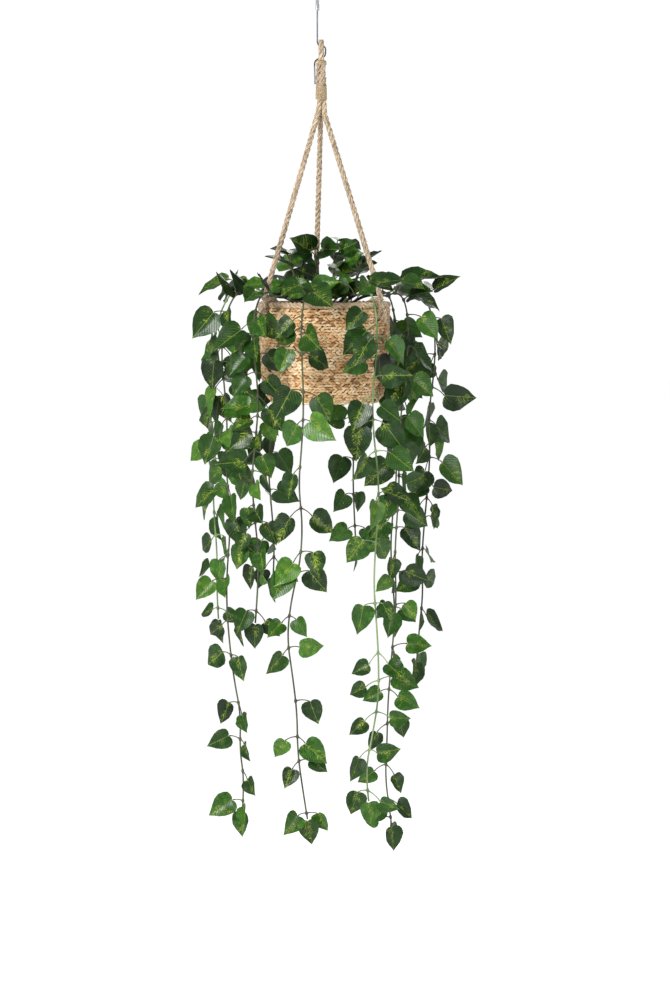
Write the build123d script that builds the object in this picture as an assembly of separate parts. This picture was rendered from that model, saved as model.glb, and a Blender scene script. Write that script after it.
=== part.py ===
from build123d import *
from math import cos, hypot, pi, radians, sin, tan
import os
import random

# Hanging basket of trailing vines. Millimetres, +Z up, -Y is the front. The origin is where the ceiling hook's
# screw meets the ceiling, and everything hangs below it.

# ---- ceiling hook and wire ----
SCREW_D, SCREW_LENGTH = 4.2, 26.0
COLLAR_D, COLLAR_T = 11.0, 1.6
HOOK_D = 3.5
HOOK_HALF_WIDTH = 11.0
HOOK_BOTTOM_Z = -37.0
HOOK_SHOULDER_R = 7.0
WIRE_D = 2.2
GAP = 0.3
EYE_HALF_WIDTH = 6.0
EYE_NECK_HALF = 1.25
EYE_BEND_R = 9.0
FERRULE_TOP_Z, FERRULE_LENGTH = -74.3, 8.4
FERRULE_W, FERRULE_T = 5.6, 3.4

# ---- rope hanger ----
ROPE_D = 8.0
NECK_X = 5.4
NECK_D = 18.6
NECK_TOP_Z, NECK_BOTTOM_Z = -151.2, -224.0
NECK_ROUND = 2.5
LOOP_TOP_Z = -126.0
LOOP_HALF_WIDTH = 7.0
ROPE_AZIMUTHS = {"left": -58.0, "right": 53.0, "back": -172.0}
ROPE_SPREAD_IN_NECK = 5.2
ROPE_HOLE_D = 9.2
ROPE_HOLE_DROP = 17.0
ROPE_OUTSIDE_R = 101.5
ROPE_BEND_R, ROPE_BEND_H = 84.5, 46.0
KNOT_R = 8.2
RIM_LOOP_R, RIM_LOOP_D = 12.6, 7.4

# ---- basket ----
AXIS_X = 9.8
RIM_Z = -490.0
RIM_R, RIM_CORD_R = 88.0, 4.6
WALL_T = 7.0
BASKET_H = 136.0
BASKET_TOP_R, BASKET_MID_R, BASKET_LOW_R, BASKET_HEEL_R, BASKET_FOOT_R = 91.5, 91.0, 88.0, 83.0, 74.0
BASKET_MID_DROP, BASKET_LOW_DROP, BASKET_HEEL_DROP = 52.0, 102.0, 124.0
LINER_T = 1.0
LINER_TOP_DROP, LINER_TOP_R, LINER_FOOT_R = 36.0, 83.0, 70.0
FOAM_TOP_DROP, FOAM_TOP_R, FOAM_FOOT_R = 44.0, 61.0, 57.0
STALK_D, STALK_TOP_DROP, STALK_SUNK = 16.0, 16.0, 30.0

# ---- plant ----
STEM_D = 2.4
RUNNER_D = 2.8
PETIOLE_D = 1.5
KNUCKLE_R = 2.0
CREST_BALL_R = 2.4
LEAF_T = 0.6
LEAF_LENGTHS = (29.0, 35.0, 41.0, 48.0)
LEAF_ASPECT = 0.78
LEAF_MARGIN = 3.2
ROPE_KEEP_OUT = 9.0
BASKET_KEEP_OUT_R = 97.0
PLANT_LIFT = 60.0
CROWN_KEEP_IN_R = 84.0
SEED = 11

# Each vine hangs in its own sector of the circle round the basket, between these azimuths in degrees, counted
# from the front towards the right. Its route is (outwards, sideways, height above the rim), from the crest
# where it passes over the rim to its tip.
VINES = {
    "front_long": (-13.0, (-31.0, 10.0), [
        (92, 0, 14), (112, 0, 20), (131, 1, 4), (141, 0, -38), (139, 2, -88), (137, 3, -138),
        (140, 1, -190), (143, -3, -243), (139, 2, -297), (137, -2, -350), (141, -14, -401),
        (140, -20, -453), (136, -13, -505), (139, -6, -556), (141, -5, -608), (138, 1, -658), (137, 8, -702)]),
    "left_front": (-46.0, (-60.0, -31.0), [
        (92, 0, 12), (110, 0, 22), (127, -1, 7), (135, -2, -33), (132, 1, -82), (128, 3, -132),
        (131, 0, -183), (135, -4, -235), (131, -3, -287), (127, 1, -338), (131, 4, -389), (134, 2, -436)]),
    "left_long": (-78.0, (-94.0, -60.0), [
        (92, 0, 12), (112, 1, 24), (131, 2, 11), (143, 1, -25), (146, -2, -70), (141, -3, -118),
        (138, 1, -167), (141, 4, -216), (137, 3, -267), (134, -2, -318), (138, -5, -369), (139, -3, -420),
        (136, 2, -471), (130, 4, -522), (120, 2, -572), (121, -2, -622), (114, -3, -668), (118, 0, -709)]),
    "left_outer": (-112.0, (-130.0, -94.0), [
        (92, 0, 16), (114, -1, 30), (139, -2, 22), (159, 0, -10), (168, 2, -53), (170, 1, -102),
        (166, -3, -152), (168, -4, -202), (171, 0, -253), (167, 4, -304), (163, 3, -354), (166, -1, -403),
        (164, -3, -447)]),
    "back_left": (-145.0, (-172.0, -130.0), [
        (92, 0, 14), (111, 1, 20), (128, 2, 2), (136, 0, -40), (134, -3, -90), (130, -2, -141),
        (133, 2, -193), (136, 3, -245), (132, 0, -297), (129, -3, -347), (132, -2, -393)]),
    "back": (161.0, (148.0, 188.0), [
        (92, 0, 13), (111, 1, 18), (127, 2, -2), (133, -1, -46), (131, -4, -97), (128, -3, -149),
        (131, 1, -201), (133, 3, -253), (130, 0, -304), (132, -2, -349)]),
    "back_right": (133.0, (118.0, 148.0), [
        (92, 0, 14), (111, -1, 22), (129, -2, 5), (138, 0, -36), (136, 3, -87), (132, 2, -139),
        (135, -2, -191), (138, -3, -243), (134, 1, -295), (131, 3, -347), (134, 1, -397), (136, -1, -441)]),
    "right_outer": (102.0, (87.0, 118.0), [
        (92, 0, 16), (113, 1, 32), (137, 2, 24), (154, 0, -10), (159, -3, -55), (156, -2, -104),
        (150, 2, -154), (153, 4, -205), (149, 1, -256), (143, -3, -307), (139, -4, -358), (142, 0, -409),
        (137, 3, -460), (133, 1, -507)]),
    "right_long": (70.0, (53.0, 87.0), [
        (92, 0, 13), (109, -1, 20), (122, -2, 0), (124, 0, -43), (119, 3, -93), (113, 2, -145),
        (110, -2, -197), (112, -4, -249), (107, 0, -300), (103, 3, -352), (106, 2, -404), (103, -1, -456),
        (99, -3, -508), (94, 0, -560), (92, 3, -611), (90, 1, -661), (98, -2, -706), (100, 0, -728)]),
    "right_front": (31.0, (10.0, 53.0), [
        (92, 0, 15), (112, 0, 26), (130, 1, 11), (138, 2, -30), (136, 0, -79), (132, -3, -129),
        (135, -2, -180), (139, 3, -231), (136, 5, -283), (132, 2, -334), (135, -2, -386), (138, 1, -437),
        (135, 6, -489), (133, 7, -540), (136, -5, -590), (134, -15, -638), (132, -8, -680)]),
}

# How far down each vine its leaves grow twice as close.
FULL_ABOVE = {"front_long": 0, "left_front": -300, "left_long": -300, "left_outer": -260, "back_left": -170,
              "back": -120, "back_right": -200, "right_outer": -260, "right_long": -330, "right_front": -120}

# Short sprigs that stand up out of the middle: azimuth, then (outwards, height above the rim) along each.
SPRIGS = [
    (-22.0, [(5, -16), (12, 10), (22, 38), (24, 66)]),
    (24.0, [(5, -16), (18, 8), (33, 34), (38, 66)]),
    (-95.0, [(5, -16), (19, 6), (36, 26), (46, 50)]),
    (92.0, [(5, -16), (20, 5), (40, 24), (50, 48)]),
    (150.0, [(5, -16), (14, 10), (25, 38), (28, 70)]),
    (-140.0, [(5, -16), (18, 5), (37, 26), (46, 54)]),
]


def polar(azimuth, outwards, sideways, height):
    """A point in the object's frame, from a place round the basket's axis and a height above the rim."""
    a = radians(azimuth)
    x = AXIS_X + outwards * sin(a) + sideways * cos(a)
    y = -outwards * cos(a) + sideways * sin(a)
    return Vector(x, y, RIM_Z + height)


def save(name, *solids):
    """Write one sub-part, of one or more solids, as a STEP file."""
    shape = solids[0] if len(solids) == 1 else Compound(children=list(solids))
    export_step(shape, f"parts/{name}.step")


def arc_radii(points):
    """The largest even arcs that the runs of a route allow, one for each inner point."""
    radii = []
    for before, here, after in zip(points, points[1:], points[2:]):
        shorter = min((here - before).length, (after - here).length)
        turn = (here - before).get_angle(after - here)
        radii.append(0.45 * shorter / tan(radians(turn) / 2))
    return radii


def tube(points, diameter):
    """A round bar along straight runs joined by tangent arcs."""
    if len(points) == 2:
        path = Line(*points)
    else:
        path = FilletPolyline(*points, radius=arc_radii(points))
    section = Plane(origin=path @ 0, z_dir=path % 0) * Circle(diameter / 2)
    return sweep(section, path=path).solid(), path


def cord(name, points, diameter):
    """A free cord's tube, with its length, its tightest arcs and its volume printed."""
    solid, path = tube(points, diameter)
    wanted = pi * diameter ** 2 / 4 * path.length
    radii = " ".join(f"{r:.0f}" for r in arc_radii(points))
    print(f"{name}: length {path.length:.0f}, volume/wanted {solid.volume / wanted:.4f}, radii {radii}")
    save(name, solid)


# ---- ceiling hook, wire eye and ferrule ----
def ceiling_hook():
    side = HOOK_HALF_WIDTH
    route = [(0, 0, -COLLAR_T / 2), (0, 0, -11), (0, side, -18), (0, side, HOOK_BOTTOM_Z),
             (0, -side, HOOK_BOTTOM_Z), (0, -side, -24)]
    radii = [HOOK_SHOULDER_R, HOOK_SHOULDER_R, side - 0.1, side - 0.1]
    path = FilletPolyline(*route, radius=radii)
    bend = sweep(Plane(origin=path @ 0, z_dir=path % 0) * Circle(HOOK_D / 2), path=path)
    tip = Pos(*(path @ 1)) * Sphere(HOOK_D / 2)
    collar = Pos(0, 0, -COLLAR_T / 2) * Cylinder(COLLAR_D / 2, COLLAR_T)
    screw = Pos(0, 0, SCREW_LENGTH / 2) * Cylinder(SCREW_D / 2, SCREW_LENGTH)
    point = Pos(0, 0, SCREW_LENGTH + 2.5) * Cone(SCREW_D / 2, 0.4, 5)
    return (bend + tip + collar + screw + point).solid()


def wire_eye():
    top = HOOK_BOTTOM_Z + HOOK_D / 2 + WIRE_D / 2 + GAP
    wide, narrow = EYE_HALF_WIDTH, EYE_NECK_HALF
    right = [(narrow, FERRULE_TOP_Z), (narrow, -58), (wide, -46), (wide, top)]
    route = [(x, 0, z) for x, z in right] + [(-x, 0, z) for x, z in reversed(right)]
    bend = EYE_BEND_R
    path = FilletPolyline(*route, radius=[bend, bend, wide - 0.1, wide - 0.1, bend, bend])
    return sweep(Plane(origin=path @ 0, z_dir=path % 0) * Circle(WIRE_D / 2), path=path).solid()


def wire_ferrule():
    outline = SlotOverall(FERRULE_W, FERRULE_T)
    sleeve = Pos(0, 0, FERRULE_TOP_Z - FERRULE_LENGTH) * extrude(outline, FERRULE_LENGTH)
    return chamfer(sleeve.edges().group_by(Axis.Z)[-1], 0.4).solid()


def hanging_wire_route():
    """Down from the ferrule, through the rope loop, round behind it and down the left of the neck."""
    left, right = NECK_X - NECK_D / 2 - WIRE_D / 2 - GAP, NECK_X + ROPE_D / 2 + WIRE_D / 2 + 0.9
    under = LOOP_TOP_Z - ROPE_D / 2 - WIRE_D / 2 - GAP
    behind = LOOP_HALF_WIDTH + ROPE_D / 2 + WIRE_D + 0.6
    return [Vector(*p) for p in [
        (0, 0, FERRULE_TOP_Z - FERRULE_LENGTH - GAP), (0, 0, under), (right, 0.2, under), (right + 0.3, 2.5, -142),
        (right - 2, behind - 1, -146.5), (left + 4.6, behind - 1.2, -149), (left, 2, -154), (left, -1, -168),
        (left + 0.1, -1.6, -184)]]


# ---- rope hanger ----
def rope_loop_route():
    half = LOOP_HALF_WIDTH
    front = [(-4.2, NECK_TOP_Z), (-half - 0.3, -140.5), (-half, LOOP_TOP_Z)]
    return [Vector(NECK_X, y, z) for y, z in front] + [Vector(NECK_X, -y, z) for y, z in reversed(front)]


def neck_whipping():
    height = NECK_TOP_Z - NECK_BOTTOM_Z
    neck = Pos(NECK_X, 0, NECK_BOTTOM_Z + height / 2) * Cylinder(NECK_D / 2, height)
    return fillet(neck.edges(), NECK_ROUND).solid()


def rope_route(azimuth):
    """Straight from the neck nearly to the rim, then a little outwards into its knot."""
    a = radians(azimuth)
    start = Vector(NECK_X + ROPE_SPREAD_IN_NECK * sin(a), -ROPE_SPREAD_IN_NECK * cos(a), NECK_BOTTOM_Z)
    return [start, polar(azimuth, ROPE_BEND_R, 0, ROPE_BEND_H), polar(azimuth, ROPE_OUTSIDE_R - 3, 0, KNOT_R - 1)]


def rope_knot(azimuth):
    """The knot that ties a rope to itself outside the rim."""
    return (Pos(*polar(azimuth, ROPE_OUTSIDE_R, 0, -1)) * Sphere(KNOT_R)).solid()


def rim_loop(azimuth):
    """The rope's end, led from the knot in through the wall and back over the rim."""
    centre = polar(azimuth, RIM_R, 0, RIM_LOOP_D / 2 + RIM_CORD_R + GAP - RIM_LOOP_R)
    a = radians(azimuth)
    place = Plane(origin=centre, x_dir=(sin(a), -cos(a), 0), z_dir=(cos(a), sin(a), 0))
    ring = place * Torus(RIM_LOOP_R, RIM_LOOP_D / 2)
    beside_rope, path = tube(rope_route(azimuth), ROPE_D + 2 * GAP)
    ring = ring - Pos(*polar(azimuth, ROPE_OUTSIDE_R, 0, -1)) * Sphere(KNOT_R) - beside_rope
    return ring.solids().sort_by(SortBy.VOLUME)[-1]


# ---- basket ----
def wall_profile(inset):
    """Heights and radii down the side of the basket, as (radius, height above the rim)."""
    return [(BASKET_TOP_R - inset, -RIM_CORD_R), (BASKET_MID_R - inset, -BASKET_MID_DROP),
            (BASKET_LOW_R - inset, -BASKET_LOW_DROP), (BASKET_HEEL_R - inset * 0.8, -BASKET_HEEL_DROP)]


def basket_wall():
    outer, inner = wall_profile(0), wall_profile(WALL_T)
    bottom = -BASKET_H
    outline = Polyline(
        *[(r, z) for r, z in outer], (BASKET_FOOT_R, bottom), (BASKET_FOOT_R, bottom + WALL_T),
        *[(r, z) for r, z in reversed(inner)], close=True)
    wall = revolve(Plane.XZ * make_face(outline), Axis.Z)
    wall = Pos(AXIS_X, 0, RIM_Z) * wall
    for azimuth in ROPE_AZIMUTHS.values():
        hole = Plane(origin=polar(azimuth, BASKET_TOP_R, 0, -ROPE_HOLE_DROP),
                     z_dir=Vector(sin(radians(azimuth)), -cos(radians(azimuth)), 0))
        wall -= hole * Cylinder(ROPE_HOLE_D / 2, 4 * WALL_T)
    return wall.solid()


def basket_rim():
    return (Pos(AXIS_X, 0, RIM_Z) * Torus(RIM_R, RIM_CORD_R)).solid()


def basket_base():
    base = Pos(AXIS_X, 0, RIM_Z - BASKET_H + WALL_T / 2) * Cylinder(BASKET_FOOT_R, WALL_T)
    return base.solid()


def basket_liner():
    foot_z = RIM_Z - BASKET_H + WALL_T + GAP
    height = RIM_Z - LINER_TOP_DROP - foot_z
    outside = Cone(LINER_FOOT_R, LINER_TOP_R, height)
    inside = Pos(0, 0, LINER_T) * Cone(LINER_FOOT_R - LINER_T, LINER_TOP_R - LINER_T, height)
    return (Pos(AXIS_X, 0, foot_z + height / 2) * (outside - inside)).solid()


# ---- plant ----
def foam_block():
    foot_z = RIM_Z - BASKET_H + WALL_T + GAP + LINER_T + 0.5
    height = RIM_Z - FOAM_TOP_DROP - foot_z
    block = Pos(AXIS_X, 0, foot_z + height / 2) * Cone(FOAM_FOOT_R, FOAM_TOP_R, height)
    hole_top = RIM_Z - FOAM_TOP_DROP
    hole = Pos(AXIS_X, 0, hole_top - STALK_SUNK / 2) * Cylinder(STALK_D / 2, STALK_SUNK)
    return fillet((block - hole).edges().group_by(Axis.Z)[0], 2.0).solid()


def stalk():
    """The moulded stalk that gathers every stem and is pushed into the foam."""
    top, foot = RIM_Z - STALK_TOP_DROP, RIM_Z - FOAM_TOP_DROP - STALK_SUNK
    post = Pos(AXIS_X, 0, (top + foot) / 2) * Cylinder(STALK_D / 2, top - foot)
    return fillet(post.edges().group_by(Axis.Z)[-1], 3.0).solid()


def vine_route(azimuth, route):
    """Route points in the object's frame; the first stands just clear of the ball on the crest."""
    points = [polar(azimuth, *p) for p in route]
    clear = (points[1] - points[0]).normalized() * (CREST_BALL_R + GAP)
    return [points[0] + clear] + points[1:]


def runner_route(azimuth, crest):
    """The stretch of a vine from the stalk to the crest over the rim."""
    outwards, sideways, height = crest
    return [polar(azimuth, STALK_D / 2 - 1.5, 0, -STALK_TOP_DROP - 5), polar(azimuth, 32, 2, -1),
            polar(azimuth, 64, -1, height + 1), polar(azimuth, outwards, sideways, height)]


def runner(azimuth, crest):
    points = runner_route(azimuth, crest)
    solid, path = tube(points, RUNNER_D)
    return (solid + Pos(*points[-1]) * Sphere(CREST_BALL_R)).solid()


def sprig_route(azimuth, route):
    return [polar(azimuth, outwards, 0, height) for outwards, height in route]


class Leaf:
    """One heart-shaped leaf: where its stalk joins it, which way its tip points, which way it faces."""

    def __init__(self, base, tip_way, facing, size):
        self.base = base
        self.along = tip_way.normalized()
        self.across = facing.cross(self.along).normalized()
        self.normal = self.along.cross(self.across)
        self.length = LEAF_LENGTHS[size]
        self.size = size

    def spots(self):
        """Points spread over the leaf, to test what it touches."""
        half = LEAF_ASPECT * self.length / 2
        found = []
        for along, share in ((-0.06, 0.4), (0.08, 0.9), (0.28, 1.0), (0.48, 0.84), (0.68, 0.56), (0.86, 0.26)):
            for across in (-1, -0.5, 0, 0.5, 1):
                found.append(self.base + self.along * (along * self.length) + self.across * (across * share * half))
        found.append(self.base + self.along * self.length)
        return found

    def near(self, spot):
        """Whether a point lies in the leaf, or nearer than the margin."""
        out = spot - self.base
        if out.length > self.length + LEAF_MARGIN:
            return False
        along, across, off = out.dot(self.along), out.dot(self.across), out.dot(self.normal)
        half = LEAF_ASPECT * self.length / 2 + LEAF_MARGIN
        inside = hypot((along - 0.42 * self.length) / (0.64 * self.length), across / half) < 1
        return abs(off) < LEAF_MARGIN and inside

    def solid(self):
        place = Plane(origin=self.base - self.normal * (LEAF_T / 2), x_dir=self.along, z_dir=self.normal)
        return (place * LEAF_SHAPES[self.size]).solid()


def leaf_shape(length):
    """A flat heart with a notch where the stalk joins it and a pointed tip."""
    half = LEAF_ASPECT * length / 2
    notch, wide, tip = (0.02 * length, 0), (0.22 * length, half), (length, 0)
    lobe, flank = (-0.09 * length, 0.5 * half), (0.66 * length, 0.66 * half)
    edges = [ThreePointArc(notch, lobe, wide), ThreePointArc(wide, flank, tip)]
    edges += [edge.mirror(Plane.XZ) for edge in edges]
    return extrude(make_face(edges), LEAF_T)


LEAF_SHAPES = [leaf_shape(length) for length in LEAF_LENGTHS]


def in_sector(spot, sector, spare):
    """Whether a point is inside a sector of the circle round the basket, by at least the spare distance."""
    x, y = spot.X - AXIS_X, spot.Y
    for azimuth, sign in ((sector[0], 1), (sector[1], -1)):
        a = radians(azimuth)
        if sign * (x * cos(a) + y * sin(a)) < spare:
            return False
    return True


def clear_of_hanger(spot):
    """Whether a point misses the basket, and the three ropes however far the plant is lifted."""
    x, y, height = spot.X - AXIS_X, spot.Y, spot.Z - RIM_Z
    out = hypot(x, y)
    if -BASKET_H - PLANT_LIFT - 6 < height < 6 and out < BASKET_KEEP_OUT_R:
        return False
    if height > -34 and out < ROPE_OUTSIDE_R + KNOT_R + 3:
        for azimuth in ROPE_AZIMUTHS.values():
            a = radians(azimuth)
            along, aside = x * sin(a) - y * cos(a), x * cos(a) + y * sin(a)
            if along > 0 and abs(aside) < ROPE_KEEP_OUT:
                return False
    return True


def vine_spot_ok(spot, sector):
    height = spot.Z - RIM_Z
    out = hypot(spot.X - AXIS_X, spot.Y)
    above = max(0.0, height - 10.0)
    outside = height < 0 or out > BASKET_KEEP_OUT_R + 0.4 * above
    return outside and in_sector(spot, sector, 1.6 + 0.36 * above) and clear_of_hanger(spot)


def crown_spot_ok(spot):
    height = spot.Z - RIM_Z
    out = hypot(spot.X - AXIS_X, spot.Y)
    return out < CROWN_KEEP_IN_R and height > 3 and clear_of_hanger(spot)


def along_route(points, step=4.0):
    """Points every few millimetres along straight runs."""
    found = []
    for a, b in zip(points, points[1:]):
        count = max(1, int((b - a).length / step))
        found += [a + (b - a) * (i / count) for i in range(count)]
    return found + [points[-1]]


def hanging_pose(face_azimuth, side, attempt, chance):
    """Stalk, tip and face directions of a leaf on a hanging stem, turned further at each attempt."""
    wander = 32 + attempt
    facing_azimuth = radians(face_azimuth + chance.uniform(-wander, wander))
    tilt = chance.uniform(-0.35, 0.7)
    turn = radians(chance.uniform(-35, 35))
    side_way = Vector(cos(facing_azimuth + turn) * side, sin(facing_azimuth + turn) * side, 0)
    fall = radians(chance.triangular(-25, 95, 50))
    tip_way = side_way * cos(fall) + Vector(0, 0, -sin(fall))
    stalk_fall = radians(chance.uniform(-15, 55))
    stalk_way = side_way * cos(stalk_fall) + Vector(0, 0, -sin(stalk_fall))
    return stalk_way, tip_way, Vector(sin(facing_azimuth), -cos(facing_azimuth), tilt)


def crown_pose(knuckle, side, attempt, chance):
    """The same for a leaf over the rim or in the middle, which stands up and leans outwards and forwards."""
    out = Vector(knuckle.X - AXIS_X, knuckle.Y, 0).normalized()
    turned = out.rotate(Axis.Z, side * chance.uniform(15, 75 + attempt))
    stalk_way = (turned * chance.uniform(0.3, 0.9) + Vector(0, 0, chance.uniform(0.3, 1.2))).normalized()
    tip_way = turned + Vector(0, 0, chance.uniform(-0.7, 0.6))
    facing = out * chance.uniform(0.2, 0.9) + Vector(chance.uniform(-0.4, 0.4), -0.6, chance.uniform(0.3, 1.0))
    return stalk_way, tip_way, facing


def vine_pose(face_azimuth, knuckle, side, attempt, chance):
    if knuckle.Z > RIM_Z + 2:
        return crown_pose(knuckle, side, attempt, chance)
    return hanging_pose(face_azimuth, side, attempt, chance)


def try_leaf(knuckle, ways, size, reach, spot_ok, leaves, stems):
    """One leaf on a stalk from a knuckle, given back only if it touches nothing."""
    stalk_way, tip_way, facing = ways
    base = knuckle + stalk_way * reach
    square = facing - tip_way * (facing.dot(tip_way) / tip_way.dot(tip_way))
    leaf = Leaf(base, tip_way, square.normalized(), size)
    spots = leaf.spots()
    if not all(spot_ok(spot) for spot in spots):
        return None
    for other in leaves:
        if (other.base - leaf.base).length < 105:
            if any(other.near(spot) for spot in spots) or any(leaf.near(spot) for spot in other.spots()):
                return None
    if any(leaf.near(spot) for spot in stems if (spot - base).length > 5):
        return None
    return leaf


def grow(knuckles, pose, spot_ok, stems, chance, sizes, skip=0.1, tries=60):
    """Put up to two leaves on each knuckle, one each side; a knuckle is (place, direction of its stem)."""
    placed, forks = [], []
    for number, (knuckle, stem_way) in enumerate(knuckles):
        pair = []
        young = number > 0.6 * len(knuckles)
        for side in chance.choice(((-1, 1), (1, -1))):
            if chance.random() < skip:
                continue
            for attempt in range(tries):
                size = max(0, chance.choice(sizes) - attempt // 20 - young)
                reach = chance.uniform(11, 22)
                ways = pose(knuckle, side, attempt, chance)
                leaf = try_leaf(knuckle, ways, size, reach, spot_ok, placed, stems)
                if leaf:
                    placed.append(leaf)
                    pair.append(leaf)
                    stems = stems + along_route([knuckle, leaf.base])
                    break
        if pair:
            forks.append((knuckle, stem_way, pair))
    return placed, forks


def bar(start, end, diameter):
    way = end - start
    return Plane(origin=start, z_dir=way) * Pos(0, 0, way.length / 2) * Cylinder(diameter / 2, way.length)


def fork(knuckle, stem_way, leaves):
    """The swelling on a stem and the leaf stalks that spring from it, in one moulding."""
    half = stem_way.normalized() * KNUCKLE_R
    body = bar(knuckle - half, knuckle + half, 2 * KNUCKLE_R)
    for leaf in leaves:
        body += bar(knuckle, leaf.base, PETIOLE_D)
    return body.solid()


def knuckles_on(points, chance, full_above=0.0):
    """Knuckles along a stem as (place, direction of the stem): two on a run in its full part, else one."""
    found = []
    for a, b in zip(points, points[1:]):
        full = a.Z - RIM_Z > full_above and (b - a).length > 40
        shares = (0.26, 0.76) if full else (0.5,)
        spread = 0.12 if full else 0.26
        for share in shares:
            found.append((a + (b - a) * chance.uniform(share - spread, share + spread), b - a))
    return found


def vine(name, azimuth, sector, route, chance):
    """One vine: its stem, the forks near the middle of its runs, and the leaves, with a last leaf on the tip."""
    points = vine_route(azimuth, route)
    cord(f"vine_{name}_stem", points, STEM_D)
    last_way = (points[-1] - points[-2]).normalized()
    outwards = polar(azimuth * 0.5, 1, 0, 0) - polar(azimuth * 0.5, 0, 0, 0)
    tip = Leaf(points[-1] + last_way * 1.6, last_way, outwards, 1)
    face_azimuth = azimuth * 0.55 if abs(azimuth) < 120 else azimuth
    leaves, forks = grow(
        knuckles_on(points, chance, FULL_ABOVE[name]), lambda *place: vine_pose(face_azimuth, *place),
        lambda spot: vine_spot_ok(spot, sector), along_route(points) + tip.spots(), chance, (1, 2, 2, 3))
    save(f"vine_{name}_forks", *[fork(*parts) for parts in forks])
    save(f"vine_{name}_leaves", *[leaf.solid() for leaf in leaves + [tip]])
    print(f"vine_{name}: {len(forks)} forks, {len(leaves) + 1} leaves")


def crown(chance):
    """Runners from the stalk to every crest, upright sprigs, and the leaves on both."""
    crests = [(azimuth, route[0]) for azimuth, sector, route in VINES.values()]
    save("runner_stems", *[runner(*crest) for crest in crests])
    sprigs = [sprig_route(*sprig) for sprig in SPRIGS]
    save("sprig_stems", *[tube(points, STEM_D)[0] for points in sprigs])
    runners = [runner_route(*crest) for crest in crests]
    stems = [spot for points in runners + sprigs for spot in along_route(points)]
    knuckles = []
    for points in sprigs:
        knuckles += knuckles_on(points, chance)[1:] + [(points[-1], points[-1] - points[-2])]
    for points in runners:
        knuckles += knuckles_on(points, chance, full_above=-30.0)[1:]
        knuckles += knuckles_on(points[2:], chance)
    leaves, forks = grow(knuckles, crown_pose, crown_spot_ok, stems, chance, (2, 2, 3, 3), skip=0.0, tries=200)
    save("crown_forks", *[fork(*parts) for parts in forks])
    save("crown_leaves", *[leaf.solid() for leaf in leaves])
    print(f"crown: {len(forks)} forks, {len(leaves)} leaves")


os.makedirs("parts", exist_ok=True)
save("ceiling_hook", ceiling_hook())
save("wire_eye", wire_eye())
save("wire_ferrule", wire_ferrule())
cord("hanging_wire", hanging_wire_route(), WIRE_D)
cord("rope_loop", rope_loop_route(), ROPE_D)
save("neck_whipping", neck_whipping())
for side, azimuth in ROPE_AZIMUTHS.items():
    cord(f"rope_{side}", rope_route(azimuth), ROPE_D)
    save(f"rope_knot_{side}", rope_knot(azimuth))
    save(f"rim_loop_{side}", rim_loop(azimuth))
save("basket_wall", basket_wall())
save("basket_rim", basket_rim())
save("basket_base", basket_base())
save("basket_liner", basket_liner())
save("foam_block", foam_block())
save("stalk", stalk())
for number, (name, (azimuth, sector, route)) in enumerate(VINES.items()):
    vine(name, azimuth, sector, route, random.Random(SEED + number))
crown(random.Random(SEED))
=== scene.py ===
from math import cos, pi, radians, sin
from random import Random

import bmesh
import bpy
import numpy as np
from mathutils import Matrix, Vector


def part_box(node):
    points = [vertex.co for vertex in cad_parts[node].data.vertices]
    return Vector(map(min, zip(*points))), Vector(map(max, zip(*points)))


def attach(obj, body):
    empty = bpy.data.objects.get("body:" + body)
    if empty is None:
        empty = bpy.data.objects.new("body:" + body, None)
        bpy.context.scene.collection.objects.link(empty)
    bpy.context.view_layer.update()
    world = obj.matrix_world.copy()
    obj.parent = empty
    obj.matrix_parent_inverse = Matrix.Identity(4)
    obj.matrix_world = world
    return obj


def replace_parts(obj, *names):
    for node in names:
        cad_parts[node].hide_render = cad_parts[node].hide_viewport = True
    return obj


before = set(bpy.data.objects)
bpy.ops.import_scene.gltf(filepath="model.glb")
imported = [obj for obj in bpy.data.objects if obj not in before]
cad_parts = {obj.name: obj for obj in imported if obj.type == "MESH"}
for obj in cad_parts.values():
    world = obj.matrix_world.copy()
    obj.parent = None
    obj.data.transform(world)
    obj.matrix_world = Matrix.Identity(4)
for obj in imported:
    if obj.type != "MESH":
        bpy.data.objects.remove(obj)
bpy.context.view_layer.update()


# ---- Picture: camera, daylight and floor ----
# The planter hangs well clear of a pale floor, seen straight on from a little above the basket's rim. Most
# of the daylight comes from a window in front and to the left, with weaker ones on the right and behind.
CAMERA_PLACE = Vector((0.0245, -5.0, -0.40))
CAMERA_AIM = Vector((0.0245, 0.0, -0.763))
CAMERA_LENS = 128.9
WINDOW_AIM = Vector((0, 0, -0.7))
FLOOR_Z, FLOOR_HALF = -1.75, 30.0
FLOOR_GLOW = 0.75
# how strongly the white all round lights things, and what is added where it is seen
WORLD_LIGHT, WORLD_SEEN = 0.28, 0.77


def put(name, data):
    """A new object in the scene, at the origin."""
    thing = bpy.data.objects.new(name, data)
    bpy.context.scene.collection.objects.link(thing)
    return thing


camera = put("camera", bpy.data.cameras.new("camera"))
camera.data.sensor_width = 36.0
camera.data.lens = CAMERA_LENS
camera.data.clip_end = 100.0
camera.location = CAMERA_PLACE
camera.rotation_euler = (CAMERA_AIM - CAMERA_PLACE).to_track_quat("-Z", "Y").to_euler()
bpy.context.scene.camera = camera
bpy.context.scene.view_settings.view_transform = "Standard"


def window(name, place, width, power):
    """A square soft light that faces the basket."""
    light = put(name, bpy.data.lights.new(name, "AREA"))
    light.data.size = width
    light.data.energy = power
    light.location = place
    light.rotation_euler = (WINDOW_AIM - Vector(place)).to_track_quat("-Z", "Y").to_euler()


window("window_left", (-2.0, -2.6, 0.7), 1.2, 116.0)
window("window_right", (2.6, -1.8, -0.2), 1.6, 33.0)
window("window_back", (0.6, 2.8, 0.8), 2.0, 34.0)


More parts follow.
